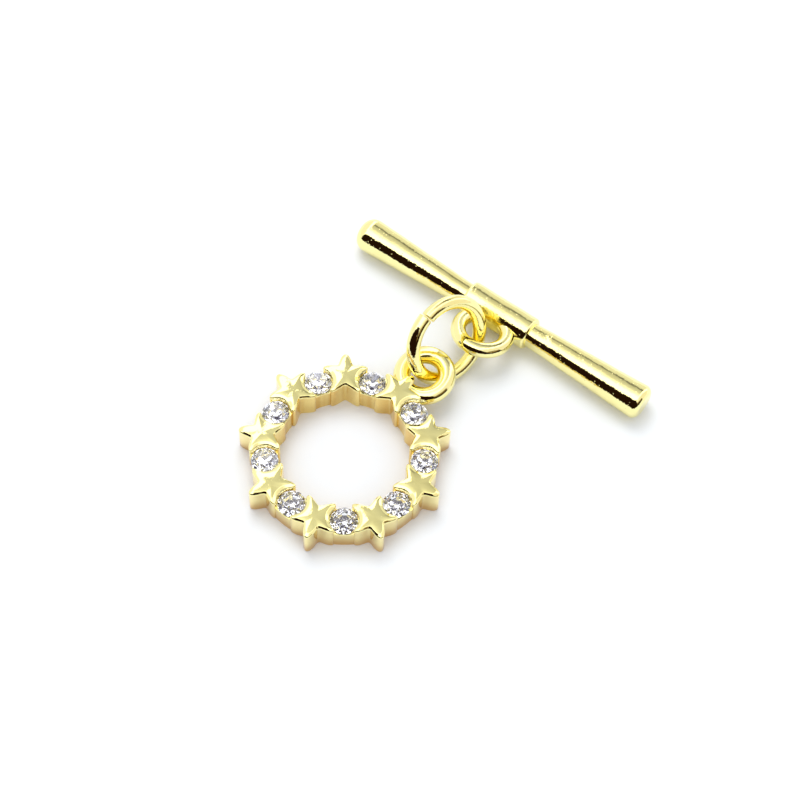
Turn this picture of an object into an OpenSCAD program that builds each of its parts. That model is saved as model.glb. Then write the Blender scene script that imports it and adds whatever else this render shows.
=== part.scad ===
// Toggle clasp: a ring of nine stars and nine set stones, a jump ring, and a bar that passes through the ring.
// Origin: centre of the ring's opening, on the surface that the clasp lies on. +X runs to the ring's eye, +Z up.
// All sizes are in millimetres.

/* [Ring of stars] */
// Number of stars, and of stones between them
star_count = 9; // [8:1:9]
// Distance from the centre of the ring to the centre of each star
star_circle_r = 5.55; // [5.5:0.01:5.62]
// Distance from the centre of a star to its points, before they are rounded
star_point_r = 1.79; // [1.74:0.01:1.84]
// Distance from the centre of a star to its notches
star_notch_r = 0.82; // [0.79:0.01:0.88]
// Radius that blunts the points of the stars
point_round = 0.12; // [0.08:0.01:0.16]
// Thickness of the ring at the stars
ring_h = 2.2; // [2.1:0.05:2.6]
// Height of the sloping edge round the top of each star
edge_h = 0.18; // [0.1:0.01:0.3]
// Size of the flat top of each star as a share of its outline
edge_scale = 0.78; // [0.7:0.01:0.9]
// Distance from the centre of the ring to the inner face of the walls between the stars
wall_in_r = 4.5; // [4.48:0.01:4.54]
// Distance from the centre of the ring to the outer face of the walls between the stars
wall_out_r = 6.2; // [6.17:0.01:6.21]
// Share of the pitch between two stars that the wall between them takes
wall_share = 0.605; // [0.6:0.002:0.61]
// Turn of the star beside the eye from the eye's own line
star_turn = 3.2; // [0:0.1:5]

/* [Stones] */
// Diameter of each stone at its girdle
stone_d = 1.85; // [1.6:0.05:1.9]
// Distance from the centre of the ring to the centre of each stone
stone_circle_r = 5.37; // [5.35:0.01:5.4]
// Depth of each stone's girdle below the tops of the stars
stone_drop = 0.45; // [0.4:0.01:0.55]
// Lean of each stone and of its seat away from the ring's centre
stone_lean = 6; // [3:0.5:8]
// Diameter of the flat table on top of each stone
table_d = 1.15; // [1:0.05:1.3]
// Height of the crown above the girdle
crown_h = 0.36; // [0.25:0.01:0.45]
// Height of the girdle
girdle_h = 0.05; // [0.03:0.01:0.08]
// Depth of the pavilion under the girdle
pavilion_h = 0.75; // [0.65:0.01:0.8]
// Width of the blunt point under the pavilion
culet_d = 0.04; // [0.03:0.01:0.08]
// Gap between each stone and the metal of its seat
stone_gap = 0.04; // [0.03:0.01:0.06]
// Depth of the ledge under the middle of the girdle
ledge_drop = 0.22; // [0.2:0.01:0.26]

/* [Jump ring] */
// Thickness of the jump ring's wire
jump_wire_d = 0.96; // [0.8:0.02:1.1]
// Outside diameter of the jump ring
jump_d = 6.6; // [6.2:0.05:7]
// How steeply the jump ring leans, from lying flat at 0 to standing at 90
jump_lean = 65; // [60:1:68]
// Turn of the jump ring's low side about the upright axis
jump_turn = -97.6; // [-102:0.2:-94]
// Width of the cut in the jump ring
jump_cut_w = 0.08; // [0.05:0.01:0.15]
// Place of the cut round the jump ring, from its lowest point
jump_cut_at = 200; // [190:1:230]

/* [Eye of the ring] */
// Thickness of the eye's wire
ring_eye_wire_d = 1.22; // [1.1:0.02:1.3]
// How much wider the eye's hole is than the jump ring's wire
ring_eye_play = 0.9; // [0.88:0.01:1]
// How far the eye's outer end is tipped up
ring_eye_tip = 9; // [6:0.5:12]
// Distance from the centre of a star to the centre of the eye
ring_eye_reach = 2.3; // [2.24:0.01:2.37]
// Height of the eye's wire above the top of the jump ring's wire under it
ring_eye_lift = 0.15; // [0.12:0.01:0.2]
// How far the point of the star beside the eye stops short of the eye's hole
ring_eye_trim = 0.15; // [0.1:0.01:0.25]

/* [Bar] */
// Whole length of the bar
bar_l = 23.9; // [21:0.1:26]
// Diameter of each arm near its end
bar_end_d = 2.5; // [2.3:0.05:2.7]
// Diameter of each arm beside the collar
bar_waist_d = 1.74; // [1.6:0.02:1.9]
// Rounding radius of the ends of the bar
bar_end_round = 0.75; // [0.4:0.05:0.85]
// Length of the collar in the middle of the bar
collar_l = 5.3; // [4.8:0.05:5.6]
// Diameter of the collar
collar_d = 2.38; // [2.2:0.02:2.5]
// Rounding radius of the collar's edges
collar_round = 0.25; // [0.15:0.01:0.3]
// Turn of the bar from square across the line of the clasp
bar_turn = 6.7; // [0:0.1:10]

/* [Eye of the bar] */
// Thickness of the eye's wire
bar_eye_wire_d = 1.06; // [0.9:0.02:1.2]
// How much wider the eye's hole is than the jump ring's wire
bar_eye_play = 1.39; // [1.3:0.01:1.5]
// How far the eye's outer end is tipped up
bar_eye_tip = 14; // [10:1:18]
// Distance from the bar's axis to the centre of the eye
bar_eye_reach = 2.23; // [2.15:0.01:2.3]
// Distance from the centre of the eye's hole back to the jump ring's wire
bar_eye_slack = 0.45; // [0.35:0.01:0.5]

/* [Hidden] */
curve_fn = 96;
gold = [0.93, 0.79, 0.42];
crystal = [0.86, 0.9, 0.96];
points_per_star = 5;
stone_sides = 8;
pitch = 360 / star_count;

// Star: half the angle of a point, and the corners of one fifth of the outline as [radius, angle]
point_pitch = 360 / points_per_star;
point_angle = atan2(star_notch_r * sin(point_pitch / 2), star_point_r - star_notch_r * cos(point_pitch / 2));
touch_x = star_point_r - point_round / tan(point_angle) * cos(point_angle);
touch_y = point_round / tan(point_angle) * sin(point_angle);
tip_r = star_point_r - point_round / sin(point_angle) + point_round;
star_corners = [
    [norm([touch_x, touch_y]), -atan2(touch_y, touch_x)],
    [tip_r, 0],
    [norm([touch_x, touch_y]), atan2(touch_y, touch_x)],
    [star_notch_r, point_pitch / 2],
];

// Stones: the middle of the girdle, the stone's lowest point under it, and the hole that holds the stone
girdle_z = ring_h - stone_drop;
culet_z = -girdle_h / 2 - pavilion_h;
seat_r = stone_d / 2 + stone_gap;
cut_size = 2 * ring_h;

// Eyes: radii of the middle of each eye's wire, and of the room kept clear in the ring's eye
ring_eye_r = (jump_wire_d + ring_eye_play + ring_eye_wire_d) / 2;
ring_eye_hole_r = ring_eye_r - ring_eye_wire_d / 2 + ring_eye_trim;
bar_eye_r = (jump_wire_d + bar_eye_play + bar_eye_wire_d) / 2;

// The ring's eye stands over the jump ring's wire
ring_eye_x = star_circle_r + ring_eye_reach;
ring_eye_z = jump_wire_d + ring_eye_lift + ring_eye_wire_d / 2;

// The bar lies on its thick ends, and its eye leans up from its axis
bar_z = max(bar_end_d, collar_d) / 2;
bar_eye_z = bar_z + bar_eye_reach * sin(bar_eye_tip);

// The jump ring touches the surface at its lowest point and passes through the middle of the ring's eye
jump_r = (jump_d - jump_wire_d) / 2;
jump_z = jump_wire_d / 2 + jump_r * sin(jump_lean);
function jump_angle(z) = asin((z - jump_z) / (jump_r * sin(jump_lean)));
// Offset in plan from the jump ring's centre to its wire at height z, on the side of the ring (-1) or bar (1)
function jump_offset(z, side) = let (a = jump_angle(z), across = side * jump_r * cos(a), up = jump_r * sin(a))
    [-across * sin(jump_turn) - up * cos(jump_lean) * cos(jump_turn),
     across * cos(jump_turn) - up * cos(jump_lean) * sin(jump_turn)];
jump_xy = [ring_eye_x, 0] - jump_offset(ring_eye_z, -1);
bar_out = [cos(bar_turn), sin(bar_turn)];
bar_eye_xy = jump_xy + jump_offset(bar_eye_z, 1) + bar_eye_slack * bar_out;
bar_xy = bar_eye_xy + bar_eye_reach * cos(bar_eye_tip) * bar_out;

// One five-pointed star with blunt points, its first point along +X
module star_outline() {
    polygon([for (i = [0:points_per_star - 1], corner = star_corners)
        corner[0] * [cos(point_pitch * i + corner[1]), sin(point_pitch * i + corner[1])]]);
}

// A star as tall as the ring, with a sloping edge round its flat top
module star() {
    linear_extrude(ring_h - edge_h)
        star_outline();
    translate([0, 0, ring_h - edge_h])
        linear_extrude(edge_h, scale = edge_scale)
            star_outline();
}

// Carries children to seat i, at the middle of its stone's girdle and leaning with the stone
module at_seat(i) {
    rotate(star_turn + pitch * (i + 0.5))
        translate([stone_circle_r, 0, girdle_z])
            rotate([0, stone_lean, 0])
                children();
}

// The low wall between two stars, its top a ledge that leans with the stone
module seat_wall(i) {
    half = pitch * wall_share / 2;
    difference() {
        rotate(star_turn + pitch * (i + 0.5) - half)
            rotate_extrude(angle = 2 * half, $fn = curve_fn)
                translate([wall_in_r, 0])
                    square([wall_out_r - wall_in_r, ring_h]);
        at_seat(i)
            translate([-cut_size / 2, -cut_size / 2, -ledge_drop])
                cube(cut_size);
    }
}

// Room for a stone, cut out of the seat wall and out of the stars on both sides of it
module seat_cut() {
    rotate_extrude($fn = curve_fn)
        polygon([
            [0, culet_z - stone_gap],
            [culet_d / 2 + stone_gap, culet_z - stone_gap],
            [seat_r, -girdle_h / 2 - stone_gap],
            [seat_r, ring_h],
            [0, ring_h],
        ]);
}

// Carries children to the centre of the ring's eye, tipped with it
module at_ring_eye() {
    translate([ring_eye_x, 0, ring_eye_z])
        rotate([0, -ring_eye_tip, 0])
            children();
}

module ring_eye() {
    rotate_extrude($fn = curve_fn)
        translate([ring_eye_r, 0])
            circle(d = ring_eye_wire_d, $fn = curve_fn);
}

// The eye's hole, kept open where the point of the star beside it would reach in
module ring_eye_hole() {
    cylinder(r = ring_eye_hole_r, h = 2 * cut_size, center = true, $fn = curve_fn);
}

module star_ring() {
    color(gold) {
        difference() {
            union() {
                for (i = [0:star_count - 1])
                    rotate(star_turn + pitch * i)
                        translate([star_circle_r, 0, 0])
                            star();
                for (i = [0:star_count - 1])
                    seat_wall(i);
            }
            for (i = [0:star_count - 1])
                at_seat(i)
                    seat_cut();
            at_ring_eye()
                ring_eye_hole();
        }
        at_ring_eye()
            ring_eye();
    }
}

// Round brilliant cut: a table, eight-sided crown and pavilion, and a sixteen-sided girdle
module brilliant() {
    hull() {
        translate([0, 0, girdle_h / 2])
            linear_extrude(crown_h)
                rotate(180 / stone_sides)
                    circle(d = table_d, $fn = stone_sides);
        translate([0, 0, -girdle_h / 2])
            linear_extrude(girdle_h)
                circle(d = stone_d, $fn = 2 * stone_sides);
        translate([0, 0, culet_z])
            cylinder(d = culet_d, h = girdle_h, $fn = stone_sides);
    }
}

module stone(i) {
    color(crystal)
        at_seat(i - 1)
            brilliant();
}

module jump_ring() {
    cut_angle = 360 * jump_cut_w / (2 * PI * jump_r);
    color(gold)
        translate([jump_xy[0], jump_xy[1], jump_z])
            rotate([0, jump_lean, jump_turn])
                rotate(jump_cut_at + cut_angle / 2)
                    rotate_extrude(angle = 360 - cut_angle, $fn = curve_fn)
                        translate([jump_r, 0])
                            circle(d = jump_wire_d, $fn = curve_fn);
}

// Half profile of the bar, from its middle to one end: radius along X, length along Y
module bar_profile() {
    round_y = bar_l / 2 - bar_end_round;
    taper = atan2((bar_end_d - bar_waist_d) / 2, round_y - collar_l / 2);
    round_x = bar_end_d / 2 - bar_end_round / cos(taper);
    edge_y = collar_l / 2 - collar_round;
    edge_x = collar_d / 2 - collar_round;
    polygon([
        [0, 0],
        [bar_waist_d / 2, 0],
        [bar_waist_d / 2, collar_l / 2],
        [round_x + bar_end_round * cos(taper), round_y - bar_end_round * sin(taper)],
        [round_x, round_y],
        [round_x, bar_l / 2],
        [0, bar_l / 2],
    ]);
    intersection() {
        translate([round_x, round_y])
            circle(r = bar_end_round, $fn = curve_fn);
        square([bar_end_d, bar_l]);
    }
    square([edge_x, collar_l / 2]);
    square([collar_d / 2, edge_y]);
    translate([edge_x, edge_y])
        circle(r = collar_round, $fn = curve_fn);
}

module bar_eye() {
    translate([-bar_eye_reach, 0, 0])
        rotate_extrude($fn = curve_fn)
            translate([bar_eye_r, 0])
                circle(d = bar_eye_wire_d, $fn = curve_fn);
}

module toggle_bar() {
    color(gold)
        translate([bar_xy[0], bar_xy[1], bar_z])
            rotate(bar_turn) {
                for (side = [0, 180])
                    rotate([-90, 0, side])
                        rotate_extrude($fn = curve_fn)
                            bar_profile();
                rotate([0, bar_eye_tip, 0])
                    bar_eye();
            }
}

star_ring();
jump_ring();
toggle_bar();
for (i = [1:star_count])
    stone(i);
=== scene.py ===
from math import cos, pi, radians, sin

import bmesh
import bpy
import numpy as np
from mathutils import Matrix, Vector


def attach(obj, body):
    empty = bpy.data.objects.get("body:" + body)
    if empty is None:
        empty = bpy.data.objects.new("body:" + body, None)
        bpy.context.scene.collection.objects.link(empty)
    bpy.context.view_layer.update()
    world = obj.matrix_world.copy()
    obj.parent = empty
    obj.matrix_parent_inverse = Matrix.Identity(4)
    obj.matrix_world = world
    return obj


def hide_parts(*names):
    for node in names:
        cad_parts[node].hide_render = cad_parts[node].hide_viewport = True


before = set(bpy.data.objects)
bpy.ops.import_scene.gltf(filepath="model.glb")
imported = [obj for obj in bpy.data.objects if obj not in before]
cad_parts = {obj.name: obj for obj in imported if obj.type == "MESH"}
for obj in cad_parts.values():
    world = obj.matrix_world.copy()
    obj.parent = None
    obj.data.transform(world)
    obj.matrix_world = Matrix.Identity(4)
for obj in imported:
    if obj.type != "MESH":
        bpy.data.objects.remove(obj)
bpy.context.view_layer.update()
print("frame loaded:", len(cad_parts), "nodes")

mm = 0.001


# Meshes from arrays

# The rotation by so many degrees about one axis of the frame
def turnAbout(axis, degrees):
    return np.array(Matrix.Rotation(radians(degrees), 3, axis))


# Angles spread evenly over a full turn
def fullTurn(count):
    return np.linspace(0, 2 * pi, count, endpoint=False)


# 0 up to low and 1 from high on; between them, three squares less two cubes of the share of the way
def smoothStep(low, high, x):
    t = np.clip((x - low) / (high - low), 0, 1)
    return t * t * (3 - 2 * t)


# Faces from columns of corner numbers; a single number fills its column
def rows(*columns):
    return np.stack(np.broadcast_arrays(*columns), axis=1).tolist()


# Faces of a grid of rings, each ring closed on itself and joined to the next one.
# With looped, the last ring is joined to the first as well.
def tubeFaces(ringCount, aroundCount, looped=False):
    ring = np.arange(ringCount if looped else ringCount - 1)[:, None]
    around = np.arange(aroundCount)[None, :]
    nextRing = (ring + 1) % ringCount
    nextAround = (around + 1) % aroundCount
    corners = [ring * aroundCount + around, ring * aroundCount + nextAround,
               nextRing * aroundCount + nextAround, nextRing * aroundCount + around]
    return np.stack(corners, axis=-1).reshape(-1, 4)


# One shell from rings (ring, around, xyz): a torus when looped, otherwise closed by a point at each end
def tubeShell(rings, looped=False, finish=0, holeShade=0):
    ringCount, aroundCount = rings.shape[:2]
    points = rings.reshape(-1, 3)
    faces = tubeFaces(ringCount, aroundCount, looped).tolist()
    holeShade = np.broadcast_to(holeShade, (ringCount, aroundCount)).reshape(-1)
    finish = np.broadcast_to(np.asarray(finish), (len(faces),)).tolist()
    if not looped:
        points = np.vstack([points, rings[0].mean(axis=0), rings[-1].mean(axis=0)])
        holeShade = np.append(holeShade, (holeShade[0], holeShade[-1]))
        start, end = len(points) - 2, len(points) - 1
        around = np.arange(aroundCount)
        after = (around + 1) % aroundCount
        base = (ringCount - 1) * aroundCount
        faces += rows(start, after, around)
        faces += rows(end, base + around, base + after)
        finish += [finish[0]] * aroundCount + [finish[-1]] * aroundCount
    return {"points": points, "faces": faces, "finish": finish, "holeShade": holeShade}


# Joins shells into one mesh, in metres. A shell has points, faces, the number of each face's material,
# and how much painted hole shade each point takes, from 0 to 1. Edges over the crease angle stay sharp,
# and a crease of 0 leaves every face flat.
def makePiece(name, shells, materials, crease=32):
    faces, count = [], 0
    for shell in shells:
        faces += [[corner + count for corner in face] for face in shell["faces"]]
        count += len(shell["points"])
    mesh = bpy.data.meshes.new(name)
    mesh.from_pydata(np.vstack([shell["points"] for shell in shells]) * mm, [], faces)
    for material in materials:
        mesh.materials.append(material)
    finish = np.concatenate([shell["finish"] for shell in shells]).astype(np.int32)
    holeShade = np.concatenate([shell["holeShade"] for shell in shells]).astype(np.float32)
    mesh.polygons.foreach_set("material_index", finish)
    mesh.polygons.foreach_set("use_smooth", np.full(len(faces), crease > 0))
    mesh.attributes.new("holeShade", "FLOAT", "POINT").data.foreach_set("value", holeShade)
    work = bmesh.new()
    work.from_mesh(mesh)
    bmesh.ops.recalc_face_normals(work, faces=work.faces)
    work.to_mesh(mesh)
    work.free()
    if crease > 0:
        mesh.set_sharp_from_angle(angle=radians(crease))
    piece = bpy.data.objects.new(name, mesh)
    bpy.context.scene.collection.objects.link(piece)
    print(name, "made:", len(faces), "faces")
    return piece


# The piece stands for its solid: the solid is hidden, and the piece moves with the clasp
def standFor(piece, node):
    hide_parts(node)
    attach(piece, "root")


# Materials. Scales count a pattern's cells to the metre, and depths are in metres.

class Tree:
    # A short way to add nodes and join them
    def __init__(self, owner):
        owner.use_nodes = True
        self.nodes = owner.node_tree.nodes
        self.links = owner.node_tree.links
        self.nodes.clear()

    def add(self, kind, inputs=(), **settings):
        node = self.nodes.new(kind)
        for key, value in settings.items():
            setattr(node, key, value)
        for key, value in dict(inputs).items():
            self.put(node, key, value)
        return node

    # Joins an output to the node's input, or sets the input to a plain value
    def put(self, node, key, value):
        if isinstance(value, bpy.types.NodeSocket):
            self.links.new(value, node.inputs[key])
        else:
            node.inputs[key].default_value = value

    def math(self, operation, *values):
        node = self.add("ShaderNodeMath", operation=operation)
        for place, value in enumerate(values):
            self.put(node, place, value)
        return node.outputs[0]

    # Eases from toLow to toHigh while the value goes from fromLow to fromHigh
    def span(self, value, fromLow, fromHigh, toLow=0.0, toHigh=1.0):
        node = self.add("ShaderNodeMapRange", interpolation_type="SMOOTHSTEP")
        for place, item in enumerate((value, fromLow, fromHigh, toLow, toHigh)):
            self.put(node, place, item)
        return node.outputs[0]

    def blend(self, share, first, second):
        node = self.add("ShaderNodeMix", data_type="RGBA")
        self.put(node, 0, share)
        self.put(node, 6, first)
        self.put(node, 7, second)
        return node.outputs[2]

    def noise(self, place, scale, detail=2.0):
        node = self.add("ShaderNodeTexNoise", {"Vector": place, "Scale": scale, "Detail": detail})
        return node.outputs[0]

    def bump(self, height, depth, below=None):
        node = self.add("ShaderNodeBump", {"Strength": 1.0, "Distance": depth, "Height": height})
        if below is not None:
            self.put(node, "Normal", below)
        return node.outputs[0]

    def surface(self, inputs):
        node = self.add("ShaderNodeBsdfPrincipled", inputs)
        self.add("ShaderNodeOutputMaterial", {"Surface": node.outputs[0]})

    def metal(self, tint, dull, shape):
        self.surface({"Base Color": tint, "Metallic": 1.0, "Roughness": dull, "Normal": shape})


# A new material with its nodes and the place on the piece
def startMaterial(name):
    material = bpy.data.materials.new(name)
    tree = Tree(material)
    return material, tree, tree.add("ShaderNodeTexCoord").outputs["Object"]


polish = {
    "bright": (0.99, 0.91, 0.42, 1),
    "pale": (0.96, 0.86, 0.37, 1),     # in duller patches
    "hole": (0.88, 0.72, 0.13, 1),     # painted shade in the eyes: a deeper gold standing in for their shade and gold interreflection
    "patches": (0.4, 0.7),             # of the noise, between bright and pale
    "dullPatches": (0.35, 0.75),       # of the noise, between plain and doubled roughness
    "roughness": 0.03,
    "holeRoughness": 0.12,             # added in the eyes
    "patchScale": 420,
    "waveScale": 620,
    "rippleScale": 1500,
    "grainScale": 5600,
    "pitScale": 3200,
    "pitWall": (0.02, 0.14),           # from a pit's floor to its rim
}


# Polished gold: slow waves of the casting, short ripples from the wheel, fine grain and small pits,
# duller patches, and painted shade in the eyes, a deeper gold that stands in for the shade there
def polishedGold(name, wave, ripple, pit):
    material, tree, place = startMaterial(name)
    holeShade = tree.add("ShaderNodeAttribute", attribute_name="holeShade").outputs["Fac"]
    patch = tree.noise(place, polish["patchScale"], detail=3)
    shape = tree.bump(tree.noise(place, polish["waveScale"], detail=1.0), wave)
    shape = tree.bump(tree.noise(place, polish["rippleScale"], detail=1.0), ripple * 2, shape)
    shape = tree.bump(tree.noise(place, polish["grainScale"], detail=1.0), ripple, shape)
    cells = tree.add("ShaderNodeTexVoronoi", {"Vector": place, "Scale": polish["pitScale"]})
    shape = tree.bump(tree.span(cells.outputs["Distance"], *polish["pitWall"]), pit, shape)
    tint = tree.blend(tree.span(patch, *polish["patches"]), polish["bright"], polish["pale"])
    # Painted shade: the deeper hole gold is laid where a face looks into a hole
    tint = tree.blend(holeShade, tint, polish["hole"])
    dull = tree.span(patch, *polish["dullPatches"], polish["roughness"], polish["roughness"] * 2)
    tree.metal(tint, tree.math("MULTIPLY_ADD", holeShade, polish["holeRoughness"], dull), shape)
    return material


sideFinish = {
    "top": (0.99, 0.86, 0.42, 1),
    # painted shade: this dark brown at the foot stands in for the shaded floor that the wall mirrors
    "foot": (0.72, 0.47, 0.18, 1),
    "heights": (0.0003, 0.0017),       # metres, between the painted shade at the foot and the top's tone
    "drift": 0.0007,                   # metres that the clouds shift those heights by
    "roughness": (0.07, 0.14),
    "clouds": (0.3, 0.7),              # of the noise, between the two roughnesses
    "cloudScale": 700,
    "depth": 0.00006,
}


# Outer sides of the ring: smooth, lightly polished, with painted shade: darker brown towards the foot,
# standing in for the shaded floor they mirror there
def shadedFootGold(name):
    material, tree, place = startMaterial(name)
    height = tree.add("ShaderNodeSeparateXYZ", {"Vector": place}).outputs["Z"]
    cloud = tree.noise(place, sideFinish["cloudScale"])
    level = tree.math("MULTIPLY_ADD", cloud, sideFinish["drift"], height)
    # Painted shade, from the foot's dark brown up to the top's gold
    tint = tree.blend(tree.span(level, *sideFinish["heights"]), sideFinish["foot"], sideFinish["top"])
    dull = tree.span(cloud, *sideFinish["clouds"], *sideFinish["roughness"])
    tree.metal(tint, dull, tree.bump(cloud, sideFinish["depth"]))
    return material


openingFinish = {
    # painted interreflection: deeper than the polished gold, for light bounced between the gold walls
    "bright": (0.98, 0.78, 0.30, 1),
    "deep": (0.84, 0.58, 0.18, 1),
    "patches": (0.38, 0.66),           # of the noise, between bright and deep
    "roughness": (0.14, 0.26),
    "lines": (0.3, 0.7),               # of the noise, between the two roughnesses
    "drawnOut": (1, 1, 0.05),          # the patterns are twenty times as long upright as across
    "lineScale": 5200,
    "patchScale": 1500,
    "depth": 0.00001,
}


# Walls round the opening: upright draw lines of the mould under the plating, and painted interreflection:
# gold deeper than the polished parts, standing in for light bounced between the gold walls, with deep
# patches that vary at random
def innerGold(name):
    material, tree, place = startMaterial(name)
    upright = tree.add("ShaderNodeMapping", {"Vector": place, "Scale": openingFinish["drawnOut"]})
    lines = tree.noise(upright.outputs[0], openingFinish["lineScale"], detail=2.5)
    patch = tree.noise(upright.outputs[0], openingFinish["patchScale"], detail=1)
    deepness = tree.span(patch, *openingFinish["patches"])
    tint = tree.blend(deepness, openingFinish["bright"], openingFinish["deep"])
    dull = tree.span(lines, *openingFinish["lines"], *openingFinish["roughness"])
    tree.metal(tint, dull, tree.bump(lines, openingFinish["depth"]))
    return material


stoneFinish = {
    "cool": (0.97, 0.98, 1.0, 1),
    "clear": (1.0, 1.0, 1.0, 1),
    "roughness": (0.0, 0.015),         # left by the polishing
    "haze": (0.3, 0.8),                # of the noise, between the two roughnesses
    "hazeScale": 1500,
    "refraction": 2.25,
}


# Clear cut stone of high refraction, with the least trace of polishing haze
def clearStone(name):
    material, tree, place = startMaterial(name)
    haze = tree.noise(place, stoneFinish["hazeScale"])
    tree.surface({
        "Base Color": tree.blend(haze, stoneFinish["cool"], stoneFinish["clear"]),
        "Roughness": tree.span(haze, *stoneFinish["haze"], *stoneFinish["roughness"]),
        "IOR": stoneFinish["refraction"],
        "Transmission Weight": 1.0,
    })
    return material


pitShadeFinish = {
    # painted shade: greys that the stones show where they look down into the pit
    "dark": (0.34, 0.34, 0.42, 1),
    "light": (0.74, 0.74, 0.80, 1),
    "clouds": (0.4, 0.6),              # of the noise, between dark and light
    "roughness": 0.3,
    "cloudScale": 1800,
    "depth": 0.00003,
}


# Pit under a stone: grey-violet metal with painted shade, standing in for the dark and grey reflections
# the stones show; rough, out of the polishing wheel's reach
def pitShadeMetal(name):
    material, tree, place = startMaterial(name)
    cloud = tree.noise(place, pitShadeFinish["cloudScale"])
    tint = tree.blend(tree.span(cloud, *pitShadeFinish["clouds"]), pitShadeFinish["dark"], pitShadeFinish["light"])
    tree.metal(tint, pitShadeFinish["roughness"], tree.bump(cloud, pitShadeFinish["depth"]))
    return material


ringGold = polishedGold("ring gold", wave=0.00004, ripple=0.000003, pit=0.000002)
barGold = polishedGold("bar gold", wave=0.00003, ripple=0.000008, pit=0.000012)
wireGold = polishedGold("wire gold", wave=0.00002, ripple=0.000006, pit=0.000005)
outerGold = shadedFootGold("side gold with painted foot shade")
openingGold = innerGold("opening gold")
seatShadeMetal = pitShadeMetal("seat metal with painted shade")
stoneGlass = clearStone("clear stone")
print("materials made")


# Ring of stars

star = {
    "count": 9,
    "turn": 3.2,                     # of the star beside the eye
    "circle": 5.55,                  # radius of the circle of stars
    "height": 2.2,
    "outer": (2.45, 0.75, 11),       # sharp points, notches, and the degrees over which both are smoothed
    "inner": (1.95, 0.80, 5),        # the same for the points that face the ring's opening
    "flat": (1.6, 0.67, 7),          # and for the flat top
    "toInner": (100, 116),           # degrees from the outward point at which outer passes to inner
    "besideStone": 29.5,             # half the degrees that a stone's arc takes of the outline
    "seatRounding": 2.5,             # degrees over which the corners beside a stone are smoothed
    "rim": 0.27,                     # width of the sloping rim round the flat top, beside a stone
    "rimTilt": 27,                   # slope of that rim
    "rimEases": (0.48, 0.86),        # shares of the way up at which that slope begins and ends
    "dome": 0.03,                    # rise of the flat top over its own edge
    "foot": 0.05,                    # rounding of the lower edge
    "corners": 240,
    "footRings": 4,
    "wallRings": 3,
    "rimRings": 19,
    "domeShares": (0.94, 0.82, 0.62, 0.35),
}
seat = {
    "circle": 5.37,
    "middle": 1.75,                  # height of the stone's girdle
    "lean": 6,
    "hole": 0.975,
    "ledge": 0.22,                   # depth of the ledge under the girdle
    "wallIn": 4.45,
    "wallOut": 6.24,
    "half": 12.1,                    # half the wall's angle round the ring, at the opening
    "flare": 0.36,                   # how much wider it is at the outer side, to meet the stars' notches
    "squareness": 22,                # of the wall's plan: 2 is an ellipse, and more is squarer
    "pitRadius": 0.72,
    # Share of the way from the middle to the pit's edge, and depth under the ledge
    "pitSteps": ((0.05, 0.80), (0.4, 0.496), (0.8, 0.16), (0.93, 0.04), (1.0, 0.0)),
    # Share of the way from the pit's edge to the wall's, and depth under the ledge
    "ledgeSteps": ((0.3, 0.0), (0.7, 0.0), (0.9, 0.004), (0.96, 0.018), (0.99, 0.045), (1.0, 0.09)),
    "wallHeights": (1.2, 0.8, 0.4, 0.0),
    "corners": 144,
}
pitch = 360 / star["count"]


# Smooths values given round a full turn, by a bell curve of the given degrees
def smoothRound(values, degrees):
    angle = fullTurn(len(values))
    weights = np.exp(-0.5 * (np.minimum(angle, 2 * pi - angle) / radians(degrees)) ** 2)
    return np.real(np.fft.ifft(np.fft.fft(values) * np.fft.fft(weights / weights.sum())))


# Straight flanks between five sharp points and five notches, smoothed round: distance at each angle
def fivePoints(point, notch, rounding):
    half = radians(36)
    part = np.abs((fullTurn(star["corners"]) + half) % (2 * half) - half)
    flank = np.arctan2(notch * sin(half), point - notch * cos(half))
    return smoothRound(point * np.sin(flank) / np.sin(flank + part), rounding)


# Distance from the star's centre to its outline drawn in by inset, at each angle. It runs straight from
# the outer star to the star of the flat top; on the two sides that face a stone it is an arc about the
# stone's centre, and its radius grows by the inset. The two points that face the opening are sharper.
def starReach(inset):
    turned = np.abs((fullTurn(star["corners"]) + pi) % (2 * pi) - pi)
    toInner = smoothStep(*np.radians(star["toInner"]), turned)
    points = (1 - toInner) * fivePoints(*star["outer"]) + toInner * fivePoints(*star["inner"])
    points += (fivePoints(*star["flat"]) - points) * inset / star["rim"]
    stoneX = seat["circle"] * cos(radians(pitch / 2)) - star["circle"]
    stoneY = seat["circle"] * sin(radians(pitch / 2))
    reach, side = np.hypot(stoneX, stoneY), np.arctan2(stoneY, stoneX)
    away = turned - side
    under = (seat["hole"] + inset) ** 2 - (reach * np.sin(away)) ** 2
    near = reach * np.cos(away) - np.sqrt(np.clip(under, 0, None))
    arc = np.where(under > 0, near, star["outer"][0])
    facing = np.abs(away) < radians(star["besideStone"])
    return smoothRound(np.where(facing, arc, np.minimum(points, arc)), star["seatRounding"])


# Side view of the rim: the slope eases from upright to the rim's own tilt, keeps it, and eases to level.
# Returns how far each step is drawn in and how far it lies below the flat top's edge.
def rimSteps():
    way = np.linspace(0, 1, star["rimRings"])
    begins, ends = star["rimEases"]
    tilt = 90 - (90 - star["rimTilt"]) * smoothStep(0, begins, way)
    tilt -= star["rimTilt"] * smoothStep(ends, 1, way)
    middle = np.radians((tilt[1:] + tilt[:-1]) / 2)
    along = np.concatenate([[0], np.cumsum(np.cos(middle))])
    up = np.concatenate([[0], np.cumsum(np.sin(middle))])
    scale = star["rim"] / along[-1]
    return along * scale, (up[-1] - up) * scale


# One level ring from its distance to the star's centre at each angle
def levelRing(reach, z):
    angle = fullTurn(len(reach))
    return np.column_stack([reach * np.cos(angle), reach * np.sin(angle), np.full(len(angle), z)])


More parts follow.
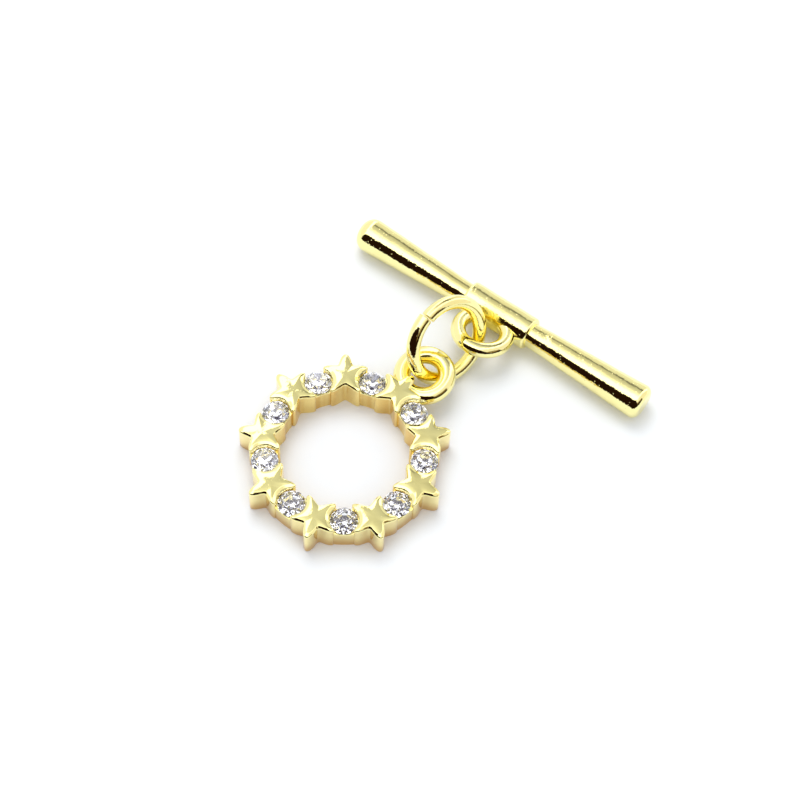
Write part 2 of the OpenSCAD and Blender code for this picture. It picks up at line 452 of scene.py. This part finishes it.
# A star as rings from its foot, rounded by a quarter circle, to the middle of its domed top
def starRings():
    insets, drops = rimSteps()
    foot, dome = star["foot"], star["dome"]
    edge = star["height"] - dome
    quarter = np.linspace(0, pi / 2, star["footRings"] + 1)[:-1]
    walls = np.linspace(foot, edge - drops[0], star["wallRings"] + 1)[:-1]
    rings = [levelRing(starReach(foot * (1 - sin(q))), foot * (1 - cos(q))) for q in quarter]
    rings += [levelRing(starReach(0), z) for z in walls]
    rings += [levelRing(starReach(inset), edge - drop) for inset, drop in zip(insets, drops)]
    flat = starReach(insets[-1])
    rings += [levelRing(flat * share, star["height"] - dome * share ** 3) for share in star["domeShares"]]
    return np.array(rings)


# Wall under a stone as rings about the stone's own centre: down the pit, over the ledge, down the sides.
# Its plan is a sector of the ring, as the distance from the stone to the sector's edge at each angle.
def seatRings():
    angle = fullTurn(seat["corners"])
    x, y = np.cos(angle), np.sin(angle)
    halfX = (seat["wallOut"] - seat["wallIn"]) / 2
    midX = (seat["wallOut"] + seat["wallIn"]) / 2
    halfY = seat["circle"] * sin(radians(seat["half"]))
    power = seat["squareness"]
    reach = 1 / ((np.abs(x) / halfX) ** power + (np.abs(y) / halfY) ** power) ** (1 / power)
    out = reach * x + midX
    bend = reach * y / seat["circle"] * (1 + seat["flare"] * (1 + reach * x / halfX) / 2)
    edge = np.stack([out * np.cos(bend) - seat["circle"], out * np.sin(bend)], axis=1)
    ledge = seat["middle"] - seat["ledge"]
    pitEdge = np.stack([x, y], axis=1) * seat["pitRadius"]
    slope = np.tan(radians(seat["lean"]))
    sunk = [(pitEdge * share, drop) for share, drop in seat["pitSteps"]]
    sunk += [(pitEdge * (1 - share) + edge * share, drop) for share, drop in seat["ledgeSteps"]]
    rings = [np.column_stack([plan, ledge - drop - slope * plan[:, 0]]) for plan, drop in sunk]
    rings += [np.column_stack([edge, np.full(len(edge), z)]) for z in seat["wallHeights"]]
    return np.array(rings)


# Where the painted hole shade lies on an eye's wire
holeShadeBand = {
    "lean": 0.45,                    # radians that its middle lies below the side that faces the hole
    "fades": (0.0, 0.8),             # cosines from that middle at which the painted shade begins and is full
}


# A torus: a circle of the wire's radius carried round a circle. The half that faces the hole gets
# painted shade, a deeper gold that stands in for the shade in the hole.
def wireLoop(eye, centre, turn, around=48, along=120):
    swing = fullTurn(along)[:, None]
    bend = fullTurn(around)[None, :]
    out = eye["radius"] + eye["wire"] * np.cos(bend)
    rise = eye["wire"] * np.sin(bend) + 0 * swing
    rings = np.stack([out * np.cos(swing), out * np.sin(swing), rise], axis=-1)
    holeShade = smoothStep(*holeShadeBand["fades"], -np.cos(bend - holeShadeBand["lean"]))
    return tubeShell(rings @ turn.T + np.array(centre), looped=True, holeShade=holeShade)


ringEye = {
    "centre": (7.85, 0, 1.72),
    "radius": 1.54,
    "wire": 0.61,
    "tip": 9,                        # outer end tipped up
}

ringMaterials = [ringGold, outerGold, openingGold, seatShadeMetal]
polished, outerSide, openingSide, pitFloor = range(len(ringMaterials))
openingReach = 5.2                   # upright faces with their foot nearer to the centre are the opening's


# Finish of each face: the outer sides, the sides round the opening, the pits, and the rest. The foot is
# the ring of points that tells how far an upright face stands from the centre of the whole ring.
def shellFinish(rings, middle, foot, sides, pits):
    steps, around = rings.shape[0] - 1, rings.shape[1]
    reach = np.hypot(rings[foot, :, 0] + middle, rings[foot, :, 1])
    finish = np.full((steps, around), polished)
    finish[sides] = np.where(reach < openingReach, openingSide, outerSide)
    finish[pits] = pitFloor
    return finish.reshape(-1)


# The stars stand at the pitch and a seat half a pitch after each, with the eye beside the first star
def starRing():
    stars, seats = starRings(), seatRings()
    starSides = slice(0, star["footRings"] + star["wallRings"])
    starFinish = shellFinish(stars, star["circle"], 0, starSides, slice(0, 0))
    pitCount, ledgeCount = len(seat["pitSteps"]), len(seat["ledgeSteps"])
    seatSides, pits = slice(pitCount + ledgeCount - 1, None), slice(0, pitCount - 1)
    seatFinish = shellFinish(seats, seat["circle"], -1, seatSides, pits)
    shells = []
    for i in range(star["count"]):
        turn = turnAbout("Z", star["turn"] + pitch * i)
        shells.append(tubeShell((stars + np.array([star["circle"], 0, 0])) @ turn.T, finish=starFinish))
        turn = turnAbout("Z", star["turn"] + pitch * (i + 0.5))
        shells.append(tubeShell((seats + np.array([seat["circle"], 0, 0])) @ turn.T, finish=seatFinish))
    shells.append(wireLoop(ringEye, ringEye["centre"], turnAbout("Y", -ringEye["tip"])))
    return makePiece("ring_of_stars", shells, ringMaterials)


standFor(starRing(), "star_ring")


# Stones

cut = {
    "girdle": 0.925,
    "table": 0.56,                   # half the table's width over its corners
    "crown": 0.36,
    "girdleHeight": 0.05,
    "pavilion": 0.75,
    "kiteRadius": 0.78,              # where the crown's kites meet between two table corners
    "kiteHeight": 0.16,
    "spin": 37,                      # degrees that each stone is turned further than the one before
    "repeat": 45,                    # degrees after which the cut looks the same again
}


# A round stone cut with a full crown and eight facets below, from rings of corners: table, kite corners,
# girdle top and foot, point. Every second corner of the foot is lower, so that each lower facet is flat.
def brilliantShell():
    k, j = np.arange(8), np.arange(16)
    eight, sixteen = k * pi / 4, j * pi / 8
    top = cut["girdleHeight"] / 2
    depth = top + cut["pavilion"]
    footHeight = np.where(j % 2, (depth - top) * cos(pi / 8) - depth, -top)

    def corners(a, r, z):
        return np.column_stack([r * np.cos(a), r * np.sin(a), z + 0 * a])

    points = np.vstack([
        corners(eight + pi / 8, cut["table"], top + cut["crown"]),
        corners(eight, cut["kiteRadius"], top + cut["kiteHeight"]),
        corners(sixteen, cut["girdle"], top),
        corners(sixteen, cut["girdle"], footHeight),
        [[0, 0, -depth]],
    ])
    table, kite, high, low, point = 0, 8, 16, 32, 48
    after, before = (2 * k + 1) % 16, (2 * k - 1) % 16
    nextAround = (j + 1) % 16
    faces = [list(range(8))]
    faces += rows(kite + k, table + k, table + (k - 1) % 8)
    faces += rows(kite + k, high + after, kite + (k + 1) % 8, table + k)
    faces += rows(high + 2 * k, high + after, kite + k)
    faces += rows(high + before, high + 2 * k, kite + k)
    faces += rows(low + j, low + nextAround, high + nextAround, high + j)
    faces += rows(low + before, point, low + after, low + 2 * k)
    return points, faces


# The stone is turned about itself, leaned, set out to the seats' circle and turned to its own seat
def makeStone(number):
    points, faces = brilliantShell()
    spin = turnAbout("Z", (number * cut["spin"]) % cut["repeat"])
    lean = turnAbout("Y", seat["lean"])
    turn = turnAbout("Z", star["turn"] + pitch * (number - 0.5))
    placed = points @ spin.T @ lean.T + np.array([seat["circle"], 0, seat["middle"]])
    shell = {"points": placed @ turn.T, "faces": faces,
             "finish": [0] * len(faces), "holeShade": [0] * len(points)}
    stone = makePiece("cut_stone_%d" % number, [shell], [stoneGlass], crease=0)
    standFor(stone, "stone_%d" % number)


for number in range(1, star["count"] + 1):
    makeStone(number)


# Jump ring

jump = {
    "centre": (10.327, 0.288, 3.036),
    "radius": 2.82,
    "wire": 0.48,
    "lean": 65,
    "turn": -97.6,
    "cutAt": 200,
    "gap": 0.08,                     # width of the cut
    "step": 0.14,                    # how far the two ends miss each other
    "edge": 0.07,                    # rounding of the cut ends
    "deeper": 0.6,                   # how much of the painted hole shade its inner side has
    "fades": (0.2, 0.9),             # cosines from that side at which the painted shade begins and is full
    "edgeRings": 7,
    "rings": 220,
    "around": 64,
}


# The wire is a circle carried round one turn of a very flat helix, so its ends stand side by side: it
# rises with the cube of the distance from its middle. At each end the circle shrinks along a quarter
# circle, which rounds the cut edge.
def jumpRing():
    half, edge = jump["gap"] / 2 / jump["radius"], jump["edge"]
    ease = np.linspace(0, pi / 2, jump["edgeRings"])
    start = half + edge / jump["radius"] * (1 - np.cos(ease))
    tuck = edge * (1 - np.sin(ease))
    middle = np.linspace(start[-1], 2 * pi - start[-1], jump["rings"])[1:-1]
    swing = np.concatenate([start, middle, (2 * pi - start)[::-1]])
    wire = jump["wire"] - np.concatenate([tuck, 0 * middle, tuck[::-1]])
    bend = fullTurn(jump["around"])
    out = jump["radius"] + wire[:, None] * np.cos(bend)
    helix = jump["step"] * 4 * (swing / (2 * pi) - 0.5) ** 3
    rise = wire[:, None] * np.sin(bend) + helix[:, None]
    around = swing[:, None] + radians(jump["cutAt"])
    rings = np.stack([out * np.cos(around), out * np.sin(around), rise], axis=-1)
    turn = turnAbout("Z", jump["turn"]) @ turnAbout("Y", jump["lean"])
    # Painted shade on the wire's inner side, the same deeper gold as in the holes
    holeShade = jump["deeper"] * smoothStep(*jump["fades"], -np.cos(bend))
    wireShell = tubeShell(rings @ turn.T + np.array(jump["centre"]), holeShade=holeShade)
    return makePiece("open_jump_ring", [wireShell], [wireGold])


standFor(jumpRing(), "jump_ring")


# Toggle bar

bar = {
    "centre": (15.287, -0.308, 1.25),
    "turn": 6.7,
    "length": 23.9,
    "endRadius": 1.25,
    "waistRadius": 0.87,
    "rounding": (0.50, 0.86),        # of the near end and of the far end
    "collarLength": 5.3,
    "collarRadius": 1.19,
    "collarRounding": 0.2,
    "ripple": 0.012,                 # unevenness left by the mould and the polishing wheel
    # Its waves: share, radians to the mm and start along the bar, times and start round it
    "waves": ((1, 1.9, 0.6, 1, -0.7), (0.6, 4.3, 0, 2, 1.1), (0.35, 9.1, 2, 3, 0)),
    "eyeShadeAlong": (1.6, 0.9),         # mm from the middle at which the painted shade by the eye begins and is full
    "eyeShadeRound": (0.3, 0.9),         # and the cosines from the eye's side
    "edgePlaces": 16,
    "armPlaces": 44,
    "collarPlaces": 22,
    "around": 96,
}
barEye = {
    "centre": (-2.164, 0, 0.539),    # from the bar's centre
    "radius": 1.705,
    "wire": 0.53,
    "tip": 14,
}


# Radius of the bar at each place along it: two arms that swell to their ends, ends rounded by a quarter
# circle, and a collar whose edges are rounded the same way
def barRadius(along):
    half, collarHalf, edge = bar["length"] / 2, bar["collarLength"] / 2, bar["collarRounding"]
    far = np.abs(along)
    side = np.where(along < 0, *bar["rounding"])
    taper = np.clip((far - collarHalf) / (half - side - collarHalf), 0, 1)
    radius = bar["waistRadius"] + (bar["endRadius"] - bar["waistRadius"]) * taper
    over = np.clip(far - (half - side), 0, side)
    radius -= side - np.sqrt(np.clip(side ** 2 - over ** 2, 0, None))
    fromEdge = collarHalf - far
    tuck = np.clip(edge - fromEdge, 0, edge)
    collar = bar["collarRadius"] - edge + np.sqrt(np.clip(edge ** 2 - tuck ** 2, 0, None))
    return np.where(fromEdge >= 0, np.maximum(collar, radius), radius)


# Places along the bar, close together where its radius changes fast
def barPlaces():
    half, (near, far) = bar["length"] / 2, bar["rounding"]
    collar, edge = bar["collarLength"] / 2, bar["collarRounding"]
    justPast = collar + 0.001
    close = 1 - np.sin(np.linspace(0, pi / 2, bar["edgePlaces"]))
    places = np.concatenate([
        -half + near * close,
        np.linspace(-half + near, -justPast, bar["armPlaces"]),
        -collar + edge * close,
        np.linspace(-collar + edge, collar - edge, bar["collarPlaces"]),
        collar - edge * close,
        np.linspace(justPast, half - far, bar["armPlaces"]),
        half - far * close,
    ])
    return np.unique(np.round(places, 6))


# The bar is a circle of the bar's radius carried along it, less a little unevenness, and its eye a torus
def toggleBar():
    along = barPlaces()
    radius = barRadius(along)
    bend = fullTurn(bar["around"])
    wave = sum(share * np.sin(along * rate + start)[:, None] * np.cos(times * bend + shift)
               for share, rate, start, times, shift in bar["waves"])
    out = radius[:, None] - bar["ripple"] * (1 + wave / 2) * smoothStep(0, 0.6, radius)[:, None]
    rings = np.stack([out * np.cos(bend), along[:, None] + 0 * bend, out * np.sin(bend)], axis=-1)
    turn, centre = turnAbout("Z", bar["turn"]), np.array(bar["centre"])
    # Painted shade: the deeper hole gold on the collar's side that faces the eye
    byMiddle = smoothStep(*bar["eyeShadeAlong"], np.abs(along))
    eyeShade = byMiddle[:, None] * smoothStep(*bar["eyeShadeRound"], -np.cos(bend))[None, :]
    body = tubeShell(rings @ turn.T + centre, holeShade=eyeShade)
    eyeCentre = turn @ np.array(barEye["centre"]) + centre
    eye = wireLoop(barEye, eyeCentre, turn @ turnAbout("Y", barEye["tip"]))
    return makePiece("toggle_bar_and_eye", [body, eye], [barGold])


standFor(toggleBar(), "toggle_bar")


# Floor, light and camera

room = {
    "floor": (0.9, 0.9, 0.9, 1),             # the white card on the table
    "floorSize": 1.2,                        # metres
    "backdrop": (1.1, 1.1, 1.1, 1),          # what the camera sees past the card
    "ambientHigh": (0.84, 0.90, 0.98, 1),    # even light on the card from above
    "ambientLow": (0.90, 0.58, 0.26, 1),     # and from warm things low down
    "ambientRise": (0.05, 0.35),             # sines of the heights between which low passes to high
    "goldGlow": (0.72, 0.62, 0.36, 1),       # what the gold throws back on the card
}

# The room that the metal mirrors. A direction is x, y and z. A pair of numbers is the sines of two heights
# or the cosines of two angles from a direction, between which one thing passes into the next.
mirrored = {
    "barSquare": (-0.993, -0.117, 0),        # level, square to the bar, towards the camera's side
    "barAlong": (-0.117, 0.993, 0),          # level, along the bar
    "nearLeft": (-0.940, -0.342, 0),         # level, towards the camera's side and to its left
    "nearRight": (-0.342, -0.940, 0),        # and to its right
    # Degrees turned over the table from the camera's side, and brightness there: from a white window
    # to a duller ceiling, a dark edge and a pale wall
    "bands": ((0, 1.0), (48, 2.3), (80, 2.2), (90, 1.5), (103, 0.95), (110, 0.76), (118, 0.68),
              (128, 0.58), (135, 0.24), (141, 0.22), (145, 0.72), (160, 0.9)),
    "bandBlue": 0.97,                        # share of blue in that light
    # The cosines from barAlong at which each begins and is full, and its colour: past either end of the
    # bar a white screen, and the wall beyond it
    "screens": ((0.325, 0.365, (2.2, 2.2, 2.2, 1)), (0.50, 0.60, (1.05, 1.05, 1.1, 1)),
                (-0.14, -0.24, (2.0, 2.0, 2.0, 1)), (-0.36, -0.50, (0.98, 0.94, 0.92, 1))),
    "leftSide": (-0.04, 0.04),               # from nearLeft, for the corner and the band that follow
    "cornerAlong": (-0.68, -0.78),           # from barAlong, for a brown corner past the bar's near end
    "cornerHeight": (0.62, 0.50),
    "brown": (0.25, 0.17, 0.08, 1),
    "bandHeight": (0.34, 0.26),              # a dark band low down
    "bandReach": (-0.25, -0.05),             # from nearRight
    "darkThing": (-0.9565, -0.2563, 0.139),  # middle of a round dark thing
    "darkEdge": (53, 47),                    # degrees from that middle
    "dark": (0.016, 0.006, 0.003, 1),
}

# What the stones' facets send back: dark things near the camera, grey corners, and white for the rest
facets = {
    "white": (2.0, 2.0, 2.1, 1),
    "grey": (0.52, 0.53, 0.64, 1),
    "greyCorners": (0.40, 0.43),             # of the noise, between grey and white
    "dark": (0.08, 0.065, 0.095, 1),
    "toCamera": (-0.384, -0.323, 0.865),
    "noiseShare": 0.5,
    "darkFrom": (1.07, 1.10),                # of the cosine from toCamera plus that share of the noise
    "noiseScale": 0.8,
    "noiseDetail": 0.5,
}


# A level white square under the clasp
def makeFloor():
    mesh = bpy.data.meshes.new("floor")
    half = room["floorSize"] / 2
    corners = [(-half, -half, 0), (half, -half, 0), (half, half, 0), (-half, half, 0)]
    mesh.from_pydata(corners, [], [(0, 1, 2, 3)])
    floor = bpy.data.objects.new("floor", mesh)
    bpy.context.scene.collection.objects.link(floor)
    material = bpy.data.materials.new("white card")
    Tree(material).surface({"Base Color": room["floor"], "Roughness": 0.9, "Specular IOR Level": 0.0})
    mesh.materials.append(material)


# The cosine between the way and a direction, as the dot product of the two
def toward(tree, way, direction):
    node = tree.add("ShaderNodeVectorMath", {0: way, 1: direction}, operation="DOT_PRODUCT")
    return node.outputs["Value"]


# Bands over the table, then the screens and walls along the bar, then the brown corner and the dark
# things low down on the camera's side, each laid over the ones before
def mirroredRoom(tree, way, up):
    over = tree.math("ARCTAN2", up, toward(tree, way, mirrored["barSquare"]))
    ramp = tree.add("ShaderNodeValToRGB", {"Fac": tree.math("DIVIDE", over, pi)})
    stops = ramp.color_ramp.elements
    for degrees, level in mirrored["bands"]:
        stops.new(degrees / 180).color = (level, level, level * mirrored["bandBlue"], 1)
    stops.remove(stops[0])
    stops.remove(stops[-1])
    glow = ramp.outputs["Color"]
    along = toward(tree, way, mirrored["barAlong"])
    for begins, full, colour in mirrored["screens"]:
        glow = tree.blend(tree.span(along, begins, full), glow, colour)
    leftSide = tree.span(toward(tree, way, mirrored["nearLeft"]), *mirrored["leftSide"])
    corner = tree.math("MULTIPLY", tree.span(along, *mirrored["cornerAlong"]),
                       tree.span(up, *mirrored["cornerHeight"]))
    glow = tree.blend(tree.math("MULTIPLY", corner, leftSide), glow, mirrored["brown"])
    bandReach = tree.span(toward(tree, way, mirrored["nearRight"]), *mirrored["bandReach"])
    lowBand = tree.math("MULTIPLY", tree.span(up, *mirrored["bandHeight"]), bandReach)
    edge = [cos(radians(degrees)) for degrees in mirrored["darkEdge"]]
    dark = tree.span(toward(tree, way, mirrored["darkThing"]), *edge)
    dark = tree.math("MAXIMUM", dark, tree.math("MULTIPLY", lowBand, leftSide))
    return tree.blend(dark, glow, mirrored["dark"])


# White, but grey where a slow noise is low, and dark where nearness to the camera and the noise add up
def facetRoom(tree, way):
    corners = tree.noise(way, facets["noiseScale"], facets["noiseDetail"])
    glow = tree.blend(tree.span(corners, *facets["greyCorners"]), facets["grey"], facets["white"])
    toCamera = toward(tree, way, facets["toCamera"])
    nearness = tree.math("MULTIPLY_ADD", corners, facets["noiseShare"], toCamera)
    return tree.blend(tree.span(nearness, *facets["darkFrom"]), glow, facets["dark"])


# The metal mirrors one room and the stones' facets another. Gold that lights the card has a plain warm
# glow, the card itself an even light, and the camera sees a pale backdrop.
def makeWorld():
    world = bpy.data.worlds.new("studio")
    bpy.context.scene.world = world
    tree = Tree(world)
    way = tree.add("ShaderNodeTexCoord").outputs["Generated"]
    up = toward(tree, way, (0, 0, 1))
    rays = tree.add("ShaderNodeLightPath").outputs
    glow = tree.blend(rays["Is Transmission Ray"], mirroredRoom(tree, way, up), facetRoom(tree, way))
    fromCard = tree.math("MULTIPLY", rays["Is Glossy Ray"], rays["Diffuse Depth"])
    glow = tree.blend(tree.math("MINIMUM", fromCard, 1.0), glow, room["goldGlow"])
    ambient = tree.blend(tree.span(up, *room["ambientRise"]), room["ambientLow"], room["ambientHigh"])
    glow = tree.blend(rays["Is Diffuse Ray"], glow, ambient)
    glow = tree.blend(rays["Is Camera Ray"], glow, room["backdrop"])
    back = tree.add("ShaderNodeBackground", {"Color": glow})
    tree.add("ShaderNodeOutputWorld", {"Surface": back.outputs[0]})


keyLight = {
    "place": (0.08, 0.13, 0.30),     # metres, over the far side
    "aim": (0.006, 0, 0),
    "size": 0.20,
    "power": 0.46,
}


# A soft box that lights the card and is kept out of the metal's reflections
def makeSoftBox():
    data = bpy.data.lights.new("key", "AREA")
    data.size = keyLight["size"]
    data.energy = keyLight["power"]
    light = bpy.data.objects.new("key", data)
    light.location = Vector(keyLight["place"])
    toAim = Vector(keyLight["aim"]) - light.location
    light.rotation_euler = toAim.to_track_quat("-Z", "Y").to_euler()
    light.visible_glossy = False
    light.visible_transmission = False
    bpy.context.scene.collection.objects.link(light)


lens = {
    "target": (6.04, 0.53, 0),       # mm
    "azimuth": -49.92,
    "elevation": 59.894,
    "roll": 3.243,
    "distance": 130,                 # mm
    "focal": 85.4,
    "sensor": 36,
    "clip": (0.01, 10),              # metres
}


# The camera looks at the target from its azimuth and elevation, rolled about its own line of sight
def makeCamera():
    a, e = radians(lens["azimuth"]), radians(lens["elevation"])
    back = Vector((sin(a) * cos(e), -cos(a) * cos(e), sin(e)))
    right = Vector((cos(a), sin(a), 0))
    up = back.cross(right)
    c, s = cos(radians(lens["roll"])), sin(radians(lens["roll"]))
    right, up = right * c + up * s, up * c - right * s
    data = bpy.data.cameras.new("camera")
    data.lens = lens["focal"]
    data.sensor_width = lens["sensor"]
    data.clip_start, data.clip_end = lens["clip"]
    camera = bpy.data.objects.new("camera", data)
    place = Matrix((right, up, back)).transposed().to_4x4()
    place.translation = (Vector(lens["target"]) + back * lens["distance"]) * mm
    camera.matrix_world = place
    bpy.context.scene.collection.objects.link(camera)
    bpy.context.scene.camera = camera


makeFloor()
makeWorld()
makeSoftBox()
makeCamera()
bpy.context.scene.view_settings.view_transform = "Standard"
bpy.context.scene.cycles.glossy_bounces = 10     # gold seen in gold seen in gold
print("floor, light and camera made")
